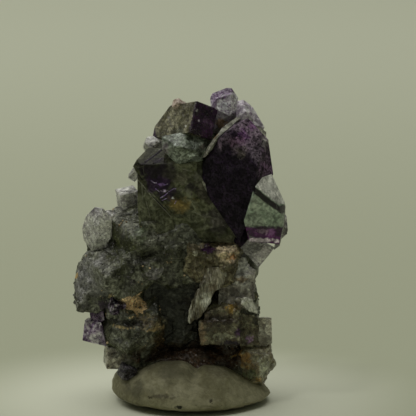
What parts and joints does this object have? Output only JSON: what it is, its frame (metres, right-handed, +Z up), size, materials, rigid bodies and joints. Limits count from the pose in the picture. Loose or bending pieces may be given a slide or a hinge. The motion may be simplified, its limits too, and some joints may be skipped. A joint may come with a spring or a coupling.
{
  "type": "fluorite crystal specimen",
  "caption": "Upright cluster of intergrown purple and green fluorite octahedra and cubes, its foot pressed into a flat-based pat of grey mineral tack; a display specimen.",
  "frame": {"origin": "on the flat underside of the tack, under the middle of the cluster's width", "axes": "+Z up, along the height of the cluster; +X to the right and -Y to the front as the large dark crystal is seen"},
  "size_m": [0.0261, 0.0198, 0.0381],
  "materials": {
    "fluorite": "glassy crystal faces, translucent, purple and green, on frosted grey-green rock",
    "mineral_tack": "matte, kneaded, grey-olive"
  },
  "bodies": {
    "root": {"fluorite_specimen": "fluorite", "putty_base": "mineral_tack"}
  },
  "joints": []
}
